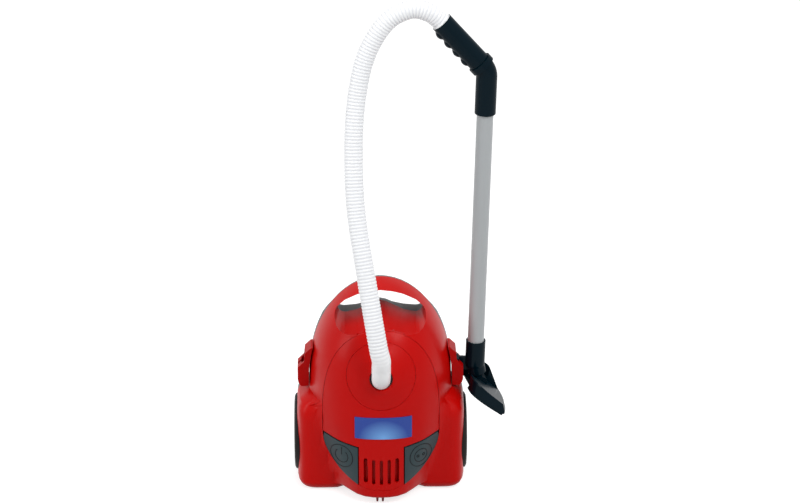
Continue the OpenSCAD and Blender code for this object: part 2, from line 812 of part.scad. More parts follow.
module fan_impeller() {
    color("white") difference() {
        union() {
            along_y([0, motor_z], 5, fan_y, fan_y + 13);
            along_y([0, motor_z], fan_r, fan_y + 11, fan_y + 13);
            for (k = [0:7]) translate([0, fan_y, motor_z]) rotate([0, 45 * k, 0])
                translate([4, 0, -0.7]) cube([fan_r - 5, 11.5, 1.4]);
        }
        along_y([0, motor_z], shaft_r, fan_y - 1, fan_y + 14);
    }
}

module fan_housing() {
    r = fan_r + 2;
    color(grey) difference() {
        along_y([0, motor_z], r + 2.5, fan_y - 3, motor_front_y);
        along_y([0, motor_z], r, fan_y - 4, motor_front_y - 2);
        along_y([0, motor_z], 4, fan_y, motor_front_y + 1);
    }
}

// The cuff's middle line: a slant through the port, then an arc upwards
port_y = front_y(0, port_z);

module at_port() {
    translate([0, port_y - dome_rise, port_z]) rotate([90 - cuff_slant, 0, 0]) children();
}

module cuff_way(r) {
    translate([0, 0, -cuff_in]) cylinder(r = r, h = cuff_in + cuff_out);
    cuff_bend_at(r);
    at_cuff_end() translate([0, 0, -cuff_sleeve - ring_lap])
        cylinder(r = r + cuff_step, h = cuff_sleeve + ring_lap);
}

// Arc in the plane of X = 0, from +Z towards +Y of the port's own frame
module cuff_bend_at(r) {
    translate([0, cuff_arc_r, cuff_out]) rotate([0, -90, 0]) rotate([0, 0, -90])
        rotate_extrude(angle = cuff_bend) translate([cuff_arc_r, 0]) circle(r);
}

module at_cuff_end() {
    translate([0, cuff_arc_r * (1 - cos(cuff_bend)), cuff_out + cuff_arc_r * sin(cuff_bend)])
        rotate([-cuff_bend, 0, 0]) translate([0, 0, cuff_sleeve]) children();
}

// The spigot fits the flats of the eight-sided bore of the hose
spigot_r = hose_bore_r * cos(22.5) - 3 * seat_gap;
cuff_bore_r = spigot_r - 1.2;

module hose_cuff() {
    color(white) at_port() difference() {
        union() {
            cuff_way(hose_r);
            at_cuff_end() translate([0, 0, -ring_lap]) cylinder(r = spigot_r, h = ring_lap + spigot_l);
        }
        union() {
            translate([0, 0, -cuff_in - 1]) cylinder(r = cuff_bore_r + cuff_step, h = cuff_in / 2);
            cuff_way(cuff_bore_r);
            at_cuff_end() translate([0, 0, -ring_lap]) cylinder(r = cuff_bore_r, h = spigot_l + 2 * ring_lap);
        }
    }
}

// Dust chamber: a drum behind the port, with a slanted inlet for the cuff and two posts to the back shell
chamber_front_y = port_y + 30.8;
chamber_back_y = castor_floor_y - socket_depth - 3;
inlet_l = 26;
inlet_lap = 8;

module dust_chamber() {
    color("#9aa3a8") difference() {
        union() {
            along_y([0, chamber_z], chamber_r, chamber_front_y, chamber_back_y);
            at_port() translate([0, 0, -cuff_in - inlet_lap]) cylinder(r = hose_r + 3, h = inlet_l);
            for (x = [-14, 14]) along_y([x, chamber_z - 10], 5, chamber_back_y - 1, floor_y);
        }
        along_y([0, chamber_z], chamber_r - wall, chamber_front_y + wall, chamber_back_y - wall);
        at_port() translate([0, 0, -cuff_in]) cylinder(r = hose_r + seat_gap, h = inlet_l);
        at_port() translate([0, 0, -cuff_in - inlet_lap - 4]) cylinder(r = cuff_bore_r, h = inlet_l);
    }
}

module dust_filter() {
    color("#d8d4c4") along_y([0, chamber_z], chamber_r - wall - seat_gap, chamber_back_y - wall - 3,
        chamber_back_y - wall);
}

// Hose: hand-chosen points of its middle line, from the cuff to the grip
cuff_end = port_point(cuff_arc_r * (1 - cos(cuff_bend)) + cuff_sleeve * sin(cuff_bend),
    cuff_out + cuff_arc_r * sin(cuff_bend) + cuff_sleeve * cos(cuff_bend));
function port_point(v, w) = [0, port_y - dome_rise - w * cos(cuff_slant) + v * sin(cuff_slant),
    port_z + w * sin(cuff_slant) + v * cos(cuff_slant)];
hose_route = [[-3, -109, 226], [-8, -103, 255], [-14, -92, 290], [-20, -80, 326], [-26, -66, 362],
    [-30, -52, 400], [-31, -38, 440], [-30, -26, 478], [-26, -15, 514], [-18, -7, 550], [-4, -2, 580],
    [14, 1, 601], [38, 3, 611], [58, 4, 606]];

// Wand: its own frame stands on the neck's rim and leans to the right
module on_wand() {
    translate([wand_x, wand_y, neck_z]) rotate([0, wand_lean, 0]) children();
}

wand_x = clip_out_x + wand_off;
elbow_arc_r = 20;
socket_l = 20;
hose_play = 0.25;
ring_t = 1.1;
ring_l = 3;
function wand_point(x, z) = [wand_x + x * cos(wand_lean) + z * sin(wand_lean), wand_y,
    neck_z + z * cos(wand_lean) - x * sin(wand_lean)];
grip_foot = [elbow_arc_r * (cos(grip_bend) - 1), tube_l + elbow_l + elbow_arc_r * sin(grip_bend)];
function grip_point(s) = wand_point(grip_foot.x - s * sin(grip_bend), grip_foot.y + s * cos(grip_bend));
grip_mouth = grip_point(grip_l);

module on_grip() {
    on_wand() translate([grip_foot.x, 0, grip_foot.y]) rotate([0, -grip_bend, 0]) children();
}

module wand_tube() {
    color("#aaaeb0") on_wand() translate([0, 0, -socket_l]) difference() {
        cylinder(r = tube_r, h = tube_l + 2 * socket_l);
        translate([0, 0, -1]) cylinder(r = tube_r - 1.2, h = tube_l + 2 * socket_l + 2);
    }
}

module elbow_arc(r, angle) {
    translate([-elbow_arc_r, 0, tube_l + elbow_l]) rotate([90, 0, 0])
        rotate_extrude(angle = angle) translate([elbow_arc_r, 0]) circle(r);
}

module elbow() {
    color(slate) difference() {
        union() {
            on_wand() {
                translate([0, 0, tube_l]) cylinder(r = elbow_r, h = elbow_l);
                elbow_arc(elbow_r, grip_bend);
            }
            on_grip() translate([0, 0, -ring_lap]) cylinder(r = elbow_r + 2.4, h = 3 + ring_lap);
        }
        on_wand() {
            translate([0, 0, tube_l - 1]) cylinder(r = tube_r + run_play, h = socket_l + 1);
            translate([0, 0, tube_l]) cylinder(r = tube_r - 2, h = elbow_l);
            elbow_arc(tube_r - 2, grip_bend);
        }
        on_grip() cylinder(r = tube_r - 2, h = 4);
    }
}

module grip() {
    foot = 3;
    bump_pitch = (grip_l - 14) / bump_count;
    color(slate) on_grip() difference() {
        union() {
            translate([0, 0, foot]) cylinder(r = grip_r, h = grip_l - foot);
            translate([0, 0, foot]) cylinder(r = elbow_r + 2.4, h = 3);
            for (k = [0:bump_count - 1]) translate([-grip_r + 5.5, 0, foot + 9 + bump_pitch * (k + 0.4)])
                sphere(r = 8.4);
        }
        translate([0, 0, grip_l - hose_in - 4]) cylinder(r = hose_r + hose_play, h = hose_in + 5);
        translate([0, 0, grip_l - ring_l]) cylinder(r = hose_r + ring_t, h = ring_l + 1);
        translate([0, 0, foot - 1]) cylinder(r = tube_r - 2, h = grip_l);
    }
}

module hose_end() {
    color(white) on_grip() translate([0, 0, grip_l - ring_l]) difference() {
        cylinder(r = hose_r + ring_t, h = ring_l + 0.4);
        translate([0, 0, -1]) cylinder(r = hose_r + hose_play, h = ring_l + 3);
    }
}

function spline(p, t) =
    let (i = min(floor(t), len(p) - 4), f = t - i, a = p[i], b = p[i + 1], c = p[i + 2], d = p[i + 3])
    0.5 * (2 * b + (c - a) * f + (2 * a - 5 * b + 4 * c - d) * f * f + (3 * b - a - 3 * c + d) * f * f * f);
function running_sum(v) = [for (i = 0, s = 0; i <= len(v); s = s + (i < len(v) ? v[i] : 0), i = i + 1) s];

// Both ends run straight, out of the cuff and into the grip
hose_ahead = 12 * [0, -cos(cuff_slant + cuff_bend), sin(cuff_slant + cuff_bend)];
hose_in = 22;
hose_start = cuff_end + hose_ahead / 80;
hose_points = concat([hose_start - hose_ahead, hose_start, hose_start + hose_ahead], hose_route,
    [grip_mouth, grip_point(grip_l - hose_in), grip_point(grip_l - 2 * hose_in)]);
hose_fine = 10;
hose_line = [for (k = [0:(len(hose_points) - 3) * hose_fine]) spline(hose_points, k / hose_fine)];
hose_steps = running_sum([for (i = [1:len(hose_line) - 1]) norm(hose_line[i] - hose_line[i - 1])]);
hose_l = hose_steps[len(hose_steps) - 1];
hose_x = [for (i = [0:len(hose_line) - 1]) [hose_steps[i], hose_line[i].x]];
hose_y = [for (i = [0:len(hose_line) - 1]) [hose_steps[i], hose_line[i].y]];
hose_z = [for (i = [0:len(hose_line) - 1]) [hose_steps[i], hose_line[i].z]];
function hose_at(s) = [lookup(s, hose_x), lookup(s, hose_y), lookup(s, hose_z)];
function hose_ring(s, r) = let (
        v = hose_at(min(hose_l, s + 2)) - hose_at(max(0, s - 2)),
        t = v / norm(v),
        side = cross(t, [0, 1, 0]),
        u = side / norm(side),
        w = cross(u, t))
    [for (a = [0:45:315]) hose_at(s) + r * (cos(a) * u + sin(a) * w)];

module hose() {
    ribs = floor(hose_l / rib_pitch);
    step = hose_l / ribs;
    bore_rings = ceil(hose_l / 9);
    color(white) loft(concat(
        [for (k = [0:ribs - 1]) each [hose_ring(k * step, hose_r - rib_depth), hose_ring((k + 0.5) * step, hose_r)]],
        [hose_ring(hose_l, hose_r - rib_depth)],
        [for (k = [bore_rings:-1:0]) hose_ring(k * hose_l / bore_rings, hose_bore_r)]), true);
}

// Neck: a socket for the tube, with a flange on a web that hangs in the clip's pocket
neck_l = 30;
foot_l = 14;
foot_bend = 13;
hook_x = pocket_in_x + move_gap;
hook_low_z = pocket_z + 0.4;
hook_top_z = clip_rim_z + 8;
web_low_z = hook_low_z + 10;

module wand_neck() {
    color(slate) difference() {
        union() {
            on_wand() {
                translate([0, 0, -neck_l]) cylinder(r = neck_r, h = neck_l);
                translate([0, 0, -neck_l]) sphere(r = neck_r);
            }
            on_foot() translate([0, 0, -foot_l]) cylinder(r = neck_r - 1, h = foot_l);
            translate([hook_x, wand_y - hook_w / 2, hook_low_z]) cube([hook_t, hook_w, hook_top_z - hook_low_z]);
            translate([hook_x, wand_y - web_t / 2, web_low_z])
                cube([wand_x - neck_r + 4 - hook_x, web_t, hook_top_z - web_low_z]);
        }
        on_wand() {
            translate([0, 0, -socket_l]) cylinder(r = tube_r + run_play, h = socket_l + 5);
            translate([0, 0, -socket_l - 6]) cylinder(r = tube_r - 2, h = socket_l);
        }
        on_foot() translate([0, 0, -foot_l - 1]) cylinder(r = 5 + run_play, h = 13);
    }
}

// Pivot: turns in the neck's foot and carries the head on two stub pins
module on_foot() {
    on_wand() translate([0, 0, -neck_l]) rotate([0, -foot_bend, 0]) children();
}

module on_pivot() {
    on_foot() translate([0, 0, -foot_l - ball_r - 0.4]) rotate([0, foot_bend - wand_lean, 0])
        rotate([0, 0, head_yaw]) children();
}

pin_r = 3.5;
ball_half_y = 7;
recess_half_w = 20;
recess_x = 7;

module pivot_ball() {
    color(slate) union() {
        on_foot() translate([0, 0, -foot_l - ball_r]) cylinder(r = 5, h = ball_r + 11);
        on_pivot() {
            intersection() {
                sphere(r = ball_r);
                cube([40, 2 * ball_half_y, 40], center = true);
            }
            rotate([90, 0, 0]) cylinder(r = pin_r, h = 2 * ball_half_y + 10, center = true);
        }
    }
}

module on_head() {
    on_pivot() rotate([0, head_pitch, 0]) children();
}

// Plan of the head, drawn in by g: a bowed front edge and rounded rear corners
function head_plan(g, rear) = let (w = head_w / 2 - 0.3 * g, back = -rear + 0.3 * g, round = 16) concat(
    [for (k = [-6:6]) let (y = w * k / 6) [head_front - g - head_bow * pow(y / w, 2), y]],
    [for (a = [0:15:90]) [back + 30 * (1 - sin(a)), w - round * (1 - cos(a)) - 0.01]],
    [for (a = [90:-15:0]) [back + 30 * (1 - sin(a)), -w + round * (1 - cos(a)) + 0.01]]);

// Head: walls that lean back to a flat top, which slopes down to the front
sole_t = 2.6;
head_low = -pivot_h + sole_t;
sole_rear = head_rear - 9;
head_rise = 2.6;
head_fall = 0.1;
function head_ring(g, rear, z) = let (p = head_plan(g, rear)) [for (i = [len(p) - 1:-1:0]) [p[i].x, p[i].y, z]];
function head_top_ring(g, drop) =
    [for (p = head_ring(g, head_rear, 0)) [p.x, p.y, head_rise - head_fall * p.x - drop]];

module head_body() {
    difference() {
        loft([
            head_ring(0.8, sole_rear, head_low),
            head_ring(0, sole_rear, head_low + 1.2),
            head_ring(1.2, sole_rear + 2, head_low + 3.5),
            head_top_ring(6.5, 1.2),
            head_top_ring(8, 0)]);
        translate([-head_rear - 1, -recess_half_w, -pivot_h])
            cube([head_rear + 1 - recess_x, 2 * recess_half_w, 3 * pivot_h]);
    }
}

// Cheek behind the ball: half of a blunt cone, hollowed for the swing of the neck
cheek_r = 36;
cheek_h = 19;
tilt_room = 14;

module head_cheek() {
    difference() {
        translate([0, ball_half_y + move_gap, 0]) rotate_extrude(angle = 180) polygon([[0, -4], [cheek_r, -4],
            [cheek_r, -1.5], [10, cheek_h - 3.5], [6, cheek_h - 1], [0, cheek_h]]);
        translate([-recess_x - 2 * cheek_r, 0, -10]) cube([2 * cheek_r, 2 * cheek_r, 2 * cheek_h]);
        for (a = [-tilt_room, 0, tilt_room])
            rotate([0, a - head_pitch, 0]) cylinder(r = neck_r + 4, h = 4 * cheek_h);
    }
}

mouth_x = 12;
mouth_l = 14;

module nozzle_head() {
    slot_w = 2 * (ball_half_y + move_gap);
    color(slate) on_head() difference() {
        union() {
            head_body();
            head_cheek();
            rotate([90, 0, 0]) cylinder(r = ball_r - 0.5, h = 2 * (ball_half_y + 6), center = true);
        }
        translate([-head_rear - 1, -slot_w / 2, head_low + 1])
            cube([head_rear + ball_r + 2.5, slot_w, 4 * pivot_h]);
        rotate([90, 0, 0]) cylinder(r = pin_r + run_play, h = 2 * ball_half_y + 11, center = true);
        translate([mouth_x - 2, -head_w / 2 + 8, -pivot_h]) cube([mouth_l + 4, head_w - 16, 10]);
    }
}

module nozzle_sole() {
    color("#22282b") on_head() difference() {
        translate([0, 0, -pivot_h]) linear_extrude(sole_t) difference() {
            polygon(head_plan(1.5, sole_rear));
            translate([-2 * head_rear, -recess_half_w]) square([2 * head_rear - recess_x, 2 * recess_half_w]);
        }
        translate([mouth_x, -head_w / 2 + 11, -pivot_h - 1]) cube([mouth_l, head_w - 22, 8]);
    }
}

front_shell();
back_shell();
front_panel();
port_dome();
label_plate();
power_button();
rewind_button();
power_spring();
rewind_spring();
button_bridge();
power_switch();
parked_plug();
left_clip();
right_clip();
axle();
left_tyre();
left_hub();
left_cap();
right_tyre();
right_hub();
right_cap();
castor_socket();
castor_fork();
castor_pin();
castor_wheel();
battery_box();
battery_cells();
battery_contacts();
battery_door();
door_screw();
case_screws();
motor_cradle();
motor();
motor_shaft();
fan_impeller();
fan_housing();
dust_chamber();
dust_filter();
hose_cuff();
hose();
hose_end();
wand_tube();
elbow();
grip();
wand_neck();
pivot_ball();
nozzle_head();
nozzle_sole();
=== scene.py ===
# Toy canister vacuum cleaner, parked upright with its wand on the side clip
import json
import math

import bmesh
import bpy
import numpy as np
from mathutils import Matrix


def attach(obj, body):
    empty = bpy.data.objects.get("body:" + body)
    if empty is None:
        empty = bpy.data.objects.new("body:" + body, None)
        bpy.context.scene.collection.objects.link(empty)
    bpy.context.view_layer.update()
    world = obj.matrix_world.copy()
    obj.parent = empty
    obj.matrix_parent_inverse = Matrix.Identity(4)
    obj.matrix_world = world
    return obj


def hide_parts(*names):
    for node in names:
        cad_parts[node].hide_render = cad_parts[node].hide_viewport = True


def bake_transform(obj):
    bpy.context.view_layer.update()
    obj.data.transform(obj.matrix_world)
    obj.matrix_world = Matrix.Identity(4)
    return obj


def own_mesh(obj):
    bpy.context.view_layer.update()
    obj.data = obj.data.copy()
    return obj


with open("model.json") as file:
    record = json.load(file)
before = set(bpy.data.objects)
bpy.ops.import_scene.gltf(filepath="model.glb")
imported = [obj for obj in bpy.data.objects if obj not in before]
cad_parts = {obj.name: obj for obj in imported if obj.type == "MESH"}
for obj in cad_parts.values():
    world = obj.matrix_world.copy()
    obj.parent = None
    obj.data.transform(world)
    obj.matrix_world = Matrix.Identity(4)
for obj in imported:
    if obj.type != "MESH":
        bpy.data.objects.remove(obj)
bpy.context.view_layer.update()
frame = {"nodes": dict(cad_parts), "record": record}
nodes = frame["nodes"]
print("frame loaded:", len(nodes), "nodes")

bodies = frame["record"]["behaviour"]["bodies"]
bodyOf = {node: body for body, members in bodies.items() for node in members}

# shared helpers


def fromSrgb(r, g, b):  # screen colour, 0 to 255, to linear light
    c = np.array([r, g, b]) / 255
    return tuple(np.where(c <= 0.04045, c / 12.92, ((c + 0.055) / 1.055) ** 2.4)) + (1.0,)


def newObject(name, mesh, finish):  # puts a mesh into the scene with one finish
    mesh.materials.clear()
    mesh.materials.append(finish)
    piece = bpy.data.objects.new(name, mesh)
    bpy.context.scene.collection.objects.link(piece)
    return piece


def gridMesh(name, points, closeU=False, closeV=False):  # points[u, v] is a place, in metres
    rows, cols = points.shape[:2]
    index = np.arange(rows * cols).reshape(rows, cols)
    if closeU:
        index = np.vstack([index, index[:1]])
    if closeV:
        index = np.hstack([index, index[:, :1]])
    quads = np.stack([index[:-1, :-1], index[:-1, 1:], index[1:, 1:], index[1:, :-1]], -1)
    mesh = bpy.data.meshes.new(name)
    mesh.from_pydata(points.reshape(-1, 3).tolist(), [], quads.reshape(-1, 4).tolist())
    mesh.update()
    mesh.shade_smooth()
    return mesh


def tubeAlong(path, radius, sides, closed=False):  # a circle of that radius carried square to a path
    path = np.asarray(path, float)
    if closed:
        ahead = np.roll(path, -1, 0) - np.roll(path, 1, 0)
    else:
        ahead = np.gradient(path, axis=0)
    ahead /= np.linalg.norm(ahead, axis=1, keepdims=True)
    side = np.cross(ahead, [0.0, 1.0, 0.0])
    side /= np.linalg.norm(side, axis=1, keepdims=True)
    up = np.cross(side, ahead)
    turn = np.linspace(0, 2 * math.pi, sides, endpoint=False)
    across, upward = np.cos(turn)[None, :, None], np.sin(turn)[None, :, None]
    radius = np.broadcast_to(radius, (len(path),))[:, None, None]
    return path[:, None] + radius * (across * side[:, None] + upward * up[:, None])


bodyShape = {  # millimetres, as in the solids; a power is a pair for swell
    "height": 261, "halfWidth": 87, "midZ": 134, "crownPower": (2, 2), "taper": 1.5,
    "leanZ": 60, "leanPower": (4.5, 2), "acrossPower": (2.5, 2.2),
    "noseReach": 85, "noseHalf": 56, "noseBase": 10.5, "rimY": 20,
    "podHalf": 102.5, "podIn": 40, "podCore": 60, "podReach": 45, "podTop": 128, "podShoulder": 95,
    "podFade": (3, 3), "podCorner": (5, 5), "blend": 6,
}


def swell(t, n, m):  # superellipse: 1 in the middle, 0 at the edge
    return np.maximum(0, 1 - np.minimum(1, np.abs(t)) ** n) ** (1 / m)


def frontY(x, z):  # depth of the front face: a smooth maximum of the hull's and the pods' reach from the rim
    b = bodyShape
    above = np.maximum(0, (z - b["midZ"]) / (b["height"] - b["midZ"]))
    below = np.clip((b["midZ"] - z) / (b["midZ"] - b["noseBase"]), 0, 1)
    half = np.where(z >= b["midZ"], b["halfWidth"] * swell(above, *b["crownPower"]),
                    b["halfWidth"] - (b["halfWidth"] - b["noseHalf"]) * below ** b["taper"])
    lean = np.maximum(0, (z - b["leanZ"]) / (b["height"] - b["leanZ"]))
    hull = (b["noseReach"] + b["rimY"]) * swell(lean, *b["leanPower"]) * swell(x / half, *b["acrossPower"])
    shoulder = np.maximum(0, (z - b["podShoulder"]) / (b["podTop"] - b["podShoulder"]))
    fade = swell(shoulder, *b["podFade"])
    wide = (b["podCore"] + (b["podHalf"] - b["podCore"]) * fade - b["podIn"]) / 2
    across = (np.abs(x) - b["podIn"] - wide) / wide
    pod = (b["podReach"] + b["rimY"]) * fade * swell(across, *b["podCorner"])
    return b["rimY"] - (hull ** b["blend"] + pod ** b["blend"]) ** (1 / b["blend"])


# finishes

mouldSkin = {"driftScale": 14, "driftDetail": 3, "grainDetail": 2, "glossSwing": 0.12, "grainDepth": 0.0004}
grainSockets = {
    "INPUT": {"Vector": "Vector", "Colour": "Color", "Drift": "Float", "Gloss": "Float",
              "Grain Scale": "Float"},
    "OUTPUT": {"Colour": "Color", "Roughness": "Float", "Height": "Float"},
}


def makeMouldGrain():  # slow drift of tone, and the fine grain of a moulded skin in gloss and height
    group = bpy.data.node_groups.new("mouldGrain", "ShaderNodeTree")
    for way, sockets in grainSockets.items():
        for label, kind in sockets.items():
            group.interface.new_socket(label, in_out=way, socket_type="NodeSocket" + kind)
    add, link = group.nodes.new, group.links.new
    inward, outward = add("NodeGroupInput"), add("NodeGroupOutput")

    slow = add("ShaderNodeTexNoise")
    slow.inputs["Scale"].default_value = mouldSkin["driftScale"]
    slow.inputs["Detail"].default_value = mouldSkin["driftDetail"]
    link(inward.outputs["Vector"], slow.inputs["Vector"])
    fine = add("ShaderNodeTexNoise")
    fine.inputs["Detail"].default_value = mouldSkin["grainDetail"]
    link(inward.outputs["Vector"], fine.inputs["Vector"])
    link(inward.outputs["Grain Scale"], fine.inputs["Scale"])

    tone = add("ShaderNodeMath")  # value of the colour: 1, and more by the slow noise
    tone.operation = "MULTIPLY_ADD"
    link(slow.outputs["Fac"], tone.inputs[0])
    link(inward.outputs["Drift"], tone.inputs[1])
    tone.inputs[2].default_value = 1
    shade = add("ShaderNodeHueSaturation")
    link(tone.outputs[0], shade.inputs["Value"])
    link(inward.outputs["Colour"], shade.inputs["Color"])
    link(shade.outputs["Color"], outward.inputs["Colour"])

    gloss = add("ShaderNodeMath")  # roughness varies with the fine grain
    gloss.operation = "MULTIPLY_ADD"
    link(fine.outputs["Fac"], gloss.inputs[0])
    gloss.inputs[1].default_value = mouldSkin["glossSwing"]
    link(inward.outputs["Gloss"], gloss.inputs[2])
    link(gloss.outputs[0], outward.inputs["Roughness"])
    link(fine.outputs["Fac"], outward.inputs["Height"])
    return group


mouldGrain = makeMouldGrain()


def addTint(tree, place, look):  # a second colour, in a glow around a point, or where the mesh's mask says (on the hose, painted shade in the rib grooves)
    mix = tree.nodes.new("ShaderNodeMix")
    mix.data_type = "RGBA"
    mix.inputs["A"].default_value = look["colour"]
    mix.inputs["B"].default_value = look["tint"]
    if "glowAt" in look:
        centre = tree.nodes.new("ShaderNodeMapping")
        spread = np.array(look["glowSize"])
        centre.inputs["Scale"].default_value = 1 / spread
        centre.inputs["Location"].default_value = -np.array(look["glowAt"]) / spread
        fall = tree.nodes.new("ShaderNodeTexGradient")
        fall.gradient_type = "SPHERICAL"
        tree.links.new(place.outputs["Object"], centre.inputs["Vector"])
        tree.links.new(centre.outputs["Vector"], fall.inputs["Vector"])
        tree.links.new(fall.outputs["Fac"], mix.inputs["Factor"])
    else:
        mask = tree.nodes.new("ShaderNodeAttribute")
        mask.attribute_name = look["mask"]
        tree.links.new(mask.outputs["Fac"], mix.inputs["Factor"])
    return mix.outputs["Result"]


plainLook = {  # what a look has where it says nothing else
    "drift": 0.1, "grainScale": 900, "grain": 0.08, "metal": 0, "coat": 0, "coatRoughness": 0.2,
    "specular": 0.3,
}


def makeFinish(name, look):  # one principled shader, with the mould grain in its colour, gloss and bump
    look = {**plainLook, **look}
    finish = bpy.data.materials.new(name)
    finish.use_nodes = True
    tree = finish.node_tree
    shader = tree.nodes["Principled BSDF"]
    place = tree.nodes.new("ShaderNodeTexCoord")
    grain = tree.nodes.new("ShaderNodeGroup")
    grain.node_tree = mouldGrain
    bump = tree.nodes.new("ShaderNodeBump")
    grain.inputs["Colour"].default_value = look["colour"]
    if "tint" in look:
        tree.links.new(addTint(tree, place, look), grain.inputs["Colour"])
    grain.inputs["Drift"].default_value = look["drift"]
    grain.inputs["Gloss"].default_value = look["roughness"] - mouldSkin["glossSwing"] / 2
    grain.inputs["Grain Scale"].default_value = look["grainScale"]
    bump.inputs["Strength"].default_value = look["grain"]
    bump.inputs["Distance"].default_value = mouldSkin["grainDepth"]
    tree.links.new(place.outputs["Object"], grain.inputs["Vector"])
    tree.links.new(grain.outputs["Colour"], shader.inputs["Base Color"])
    tree.links.new(grain.outputs["Roughness"], shader.inputs["Roughness"])
    tree.links.new(grain.outputs["Height"], bump.inputs["Height"])
    tree.links.new(bump.outputs["Normal"], shader.inputs["Normal"])
    shader.inputs["Metallic"].default_value = look["metal"]
    shader.inputs["Coat Weight"].default_value = look["coat"]
    shader.inputs["Coat Roughness"].default_value = look["coatRoughness"]
    shader.inputs["Specular IOR Level"].default_value = look["specular"]
    return finish


looks = {
    "redPlastic": {"colour": fromSrgb(190, 6, 3), "roughness": 0.36, "coat": 0.04, "coatRoughness": 0.16,
                   "specular": 0.09, "drift": 0.05},
    "clipPlastic": {"colour": fromSrgb(172, 3, 2), "roughness": 0.36, "specular": 0.08, "drift": 0.05},
    "darkPlastic": {"colour": fromSrgb(2, 21, 30), "roughness": 0.3, "coat": 0.09, "coatRoughness": 0.05,
                    "specular": 0.03},
    "buttonPlastic": {"colour": fromSrgb(44, 60, 64), "roughness": 0.45, "specular": 0.2},
    "greyPlastic": {"colour": fromSrgb(84, 86, 88), "roughness": 0.55},
    # the hose's tint is painted shade: a grey laid into the rib grooves through the groove mask
    "hosePlastic": {"colour": fromSrgb(250, 251, 252), "roughness": 0.4, "drift": 0.02, "specular": 0.25,
                    "tint": fromSrgb(226, 228, 233), "mask": "groove"},
    "tubePlastic": {"colour": fromSrgb(172, 176, 178), "roughness": 0.33, "coat": 0.1, "drift": 0.04},
    # the plug is the shell's red plastic; its darker red is painted shade
    "plugRedPaintedShade": {"colour": fromSrgb(110, 10, 14), "roughness": 0.4},
    "tyreRubber": {"colour": fromSrgb(16, 12, 11), "roughness": 0.6, "grain": 0.2, "specular": 0.2},
    "hubPlastic": {"colour": fromSrgb(150, 142, 140), "roughness": 0.4},
    "steel": {"colour": (0.6, 0.6, 0.6, 1), "roughness": 0.35, "metal": 1},
    "cellWrap": {"colour": fromSrgb(70, 130, 80), "roughness": 0.35},
    "smokePlastic": {"colour": fromSrgb(150, 158, 164), "roughness": 0.3},
    "filterFelt": {"colour": fromSrgb(214, 208, 190), "roughness": 0.9, "grain": 0.6},
    # the button marks' dark colour is painted shade, standing in for the shade along the moulded icon lines
    "markPaintedShade": {"colour": fromSrgb(14, 24, 28), "roughness": 0.4, "specular": 0.15},
    "labelFilm": {"colour": fromSrgb(24, 62, 150), "roughness": 0.25, "coat": 0.2, "specular": 0.25,
                  "tint": fromSrgb(110, 165, 225), "glowAt": (0.0025, -0.085, 0.095),
                  "glowSize": (0.03, 0.06, 0.024)},
}
finishes = {name: makeFinish(name, look) for name, look in looks.items()}
print("finishes:", len(finishes))

# camera, floor and light

view = {
    "target": (0.024, 0.0, 0.303), "elevation": 25, "azimuth": -1, "distance": 3.6,
    "lens": 135, "sensor": 36, "farClip": 100,
}
studio = {
    "floorX": (-6.0, 6.0), "floorY": (-6.0, 8.0), "floorColour": (0.5, 0.5, 0.5, 1), "floorRoughness": 0.9,
    "floorSeen": 0.74, "sky": 0.5, "skySeen": 0.5,
    "lamps": {  # place, aim, size and power
        "keyLamp": ((1.2, -1.7, 2.3), (0, 0, 0.25), (1.2, 1.2), 40),
        "leftSoftbox": ((-2.1, -0.5, 1.1), (0, 0, 0.25), (1.0, 1.6), 20),
        "topLamp": ((0.2, 0.5, 2.4), (0, 0, 0.2), (1.6, 1.2), 12),
    },
}


def addCamera():  # looks at the target from its distance, down by the elevation
    e, a = math.radians(view["elevation"]), math.radians(view["azimuth"])
    back = np.array([math.sin(a) * math.cos(e), -math.cos(a) * math.cos(e), math.sin(e)])
    lens = bpy.data.cameras.new("camera")
    lens.lens = view["lens"]
    lens.sensor_width = view["sensor"]
    lens.clip_end = view["farClip"]
    camera = bpy.data.objects.new("camera", lens)
    camera.location = np.array(view["target"]) + back * view["distance"]
    camera.rotation_euler = (math.radians(90) - e, 0, a)
    bpy.context.scene.collection.objects.link(camera)
    bpy.context.scene.camera = camera


def addLamp(name, place, aim, size, power):  # a rectangle of light, turned to its aim
    lamp = bpy.data.lights.new(name, "AREA")
    lamp.shape = "RECTANGLE"
    lamp.size, lamp.size_y = size
    lamp.energy = power
    stand = bpy.data.objects.new(name, lamp)
    stand.location = place
    away = np.array(place, float) - np.array(aim, float)
    away /= np.linalg.norm(away)
    stand.rotation_euler = (math.acos(away[2]), 0, math.atan2(away[0], -away[1]))
    bpy.context.scene.collection.objects.link(stand)


def seenOnly(tree, more, always):  # a strength that grows where the camera sees it, straight or in gloss
    ray = tree.nodes.new("ShaderNodeLightPath")
    strength = None
    for kind in ("Is Camera Ray", "Is Glossy Ray", "Is Transmission Ray"):
        step = tree.nodes.new("ShaderNodeMath")
        step.operation = "MULTIPLY_ADD"
        step.inputs[1].default_value = more
        step.inputs[2].default_value = always
        tree.links.new(ray.outputs[kind], step.inputs[0])
        if strength is not None:
            tree.links.new(strength, step.inputs[2])
        strength = step.outputs[0]
    return strength


